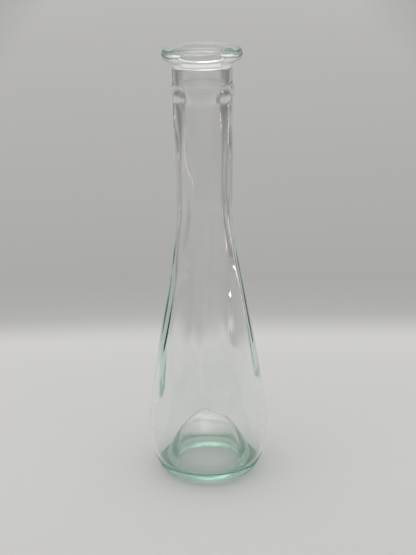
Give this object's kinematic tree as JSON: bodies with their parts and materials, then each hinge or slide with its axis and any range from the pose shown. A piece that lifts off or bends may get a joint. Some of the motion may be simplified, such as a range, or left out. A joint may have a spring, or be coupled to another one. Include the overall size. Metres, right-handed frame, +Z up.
{
  "type": "glass bud vase",
  "caption": "Tall teardrop bud vase of mould-blown glass with a narrow neck, a neck ring, a rounded lip and a deep punt.",
  "frame": {"origin": "on the vase's axis, in the plane of the ring it stands on", "axes": "+Z up along the axis to the lip; +X and +Y are any two level directions, because the vase is turned"},
  "size_m": [0.0698, 0.0698, 0.25],
  "materials": {
    "green_glass": "clear, smooth, fire-polished recycled soda-lime glass with a pale green tint"
  },
  "bodies": {
    "root": {"lip": "green_glass", "throat": "green_glass", "neck_ring": "green_glass", "neck": "green_glass", "body": "green_glass", "heel": "green_glass", "punt": "green_glass"}
  },
  "joints": []
}
